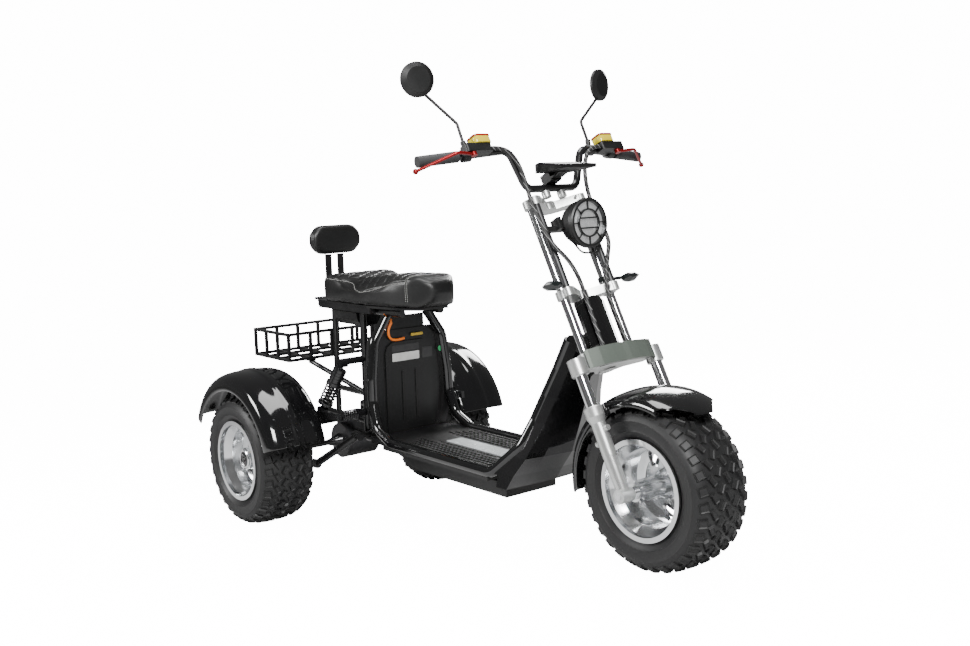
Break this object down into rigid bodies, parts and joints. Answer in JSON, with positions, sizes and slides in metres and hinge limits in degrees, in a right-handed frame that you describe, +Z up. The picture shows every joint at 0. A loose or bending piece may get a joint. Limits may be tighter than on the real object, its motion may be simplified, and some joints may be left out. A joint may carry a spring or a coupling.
{
  "type": "electric trike",
  "caption": "Motorized trike with a long raked fork, fat off-road tyres, a flat step-through floor, saddle seat, backrest and rear basket.",
  "frame": {"origin": "on the ground under the middle of the overall box, midway between the sides", "axes": "+X forwards, +Y to the rider's left, +Z up"},
  "size_m": [2.0522, 1.01, 1.4269],
  "materials": {
    "tyre_rubber": "matt",
    "polished_cast": "polished",
    "chrome": "polished",
    "silver_cast": "satin",
    "grey_cover": "satin",
    "black_gloss": "gloss",
    "black_plastic": "satin",
    "red_anodised": "satin",
    "amber_cup": "clear",
    "black_frame": "gloss",
    "black_leather": "satin",
    "cast_block": "satin",
    "lamp_glass": "clear"
  },
  "bodies": {
    "chassis": {"backrest_cushion": "black_leather", "backrest_posts": "black_frame", "basket": "black_frame", "basket_struts": "black_frame", "battery_box": "black_plastic", "drive_unit": "cast_block", "floor_deck": "black_plastic", "half_shafts": "black_frame", "leg_shield": "black_gloss", "lower_arms": "black_frame", "main_frame": "black_frame", "rear_fenders": "black_gloss", "seat_cushion": "black_leather", "seat_plate": "black_frame", "shocks": "black_frame", "side_rails": "black_plastic", "side_springs": "black_frame", "under_tray": "black_plastic", "uprights": "black_frame"},
    "steering": {"brake_caliper": "black_frame", "brake_controls": "black_plastic", "brake_cups": "amber_cup", "brake_levers": "red_anodised", "crown_cover": "grey_cover", "display": "black_plastic", "fork_legs": "silver_cast", "fork_sleeves": "black_plastic", "fork_tubes": "chrome", "front_axle": "chrome", "grips": "black_plastic", "handlebar": "black_frame", "headlight": "black_plastic", "headlight_lens": "lamp_glass", "looms": "black_plastic", "lower_crown": "silver_cast", "middle_clamp": "silver_cast", "mirrors": "black_plastic", "mudguard": "black_gloss", "signals": "black_plastic", "steering_stem": "chrome", "top_clamp": "silver_cast"},
    "front_wheel": {"front_brake_disc": "black_frame", "front_rim": "polished_cast", "front_tyre": "tyre_rubber"},
    "rear_wheel_left": {"rear_rim_left": "polished_cast", "rear_tyre_left": "tyre_rubber"},
    "rear_wheel_right": {"rear_rim_right": "polished_cast", "rear_tyre_right": "tyre_rubber"}
  },
  "joints": [
    {"name": "steering_turn", "type": "hinge", "parent": "chassis", "child": "steering", "pos_m": [0.75208, 0, 0.21442], "axis": [-0.3907, 0, 0.9205], "range_deg": [-35, 35]},
    {"name": "front_wheel_spin", "type": "hinge", "parent": "steering", "child": "front_wheel", "pos_m": [0.7935, 0, 0.232], "axis": [0, 1, 0], "continuous": true},
    {"name": "rear_left_spin", "type": "hinge", "parent": "chassis", "child": "rear_wheel_left", "pos_m": [-0.7495, 0.392, 0.232], "axis": [0, 1, 0], "continuous": true},
    {"name": "rear_right_spin", "type": "hinge", "parent": "chassis", "child": "rear_wheel_right", "pos_m": [-0.7495, -0.392, 0.232], "axis": [0, 1, 0], "continuous": true}
  ]
}
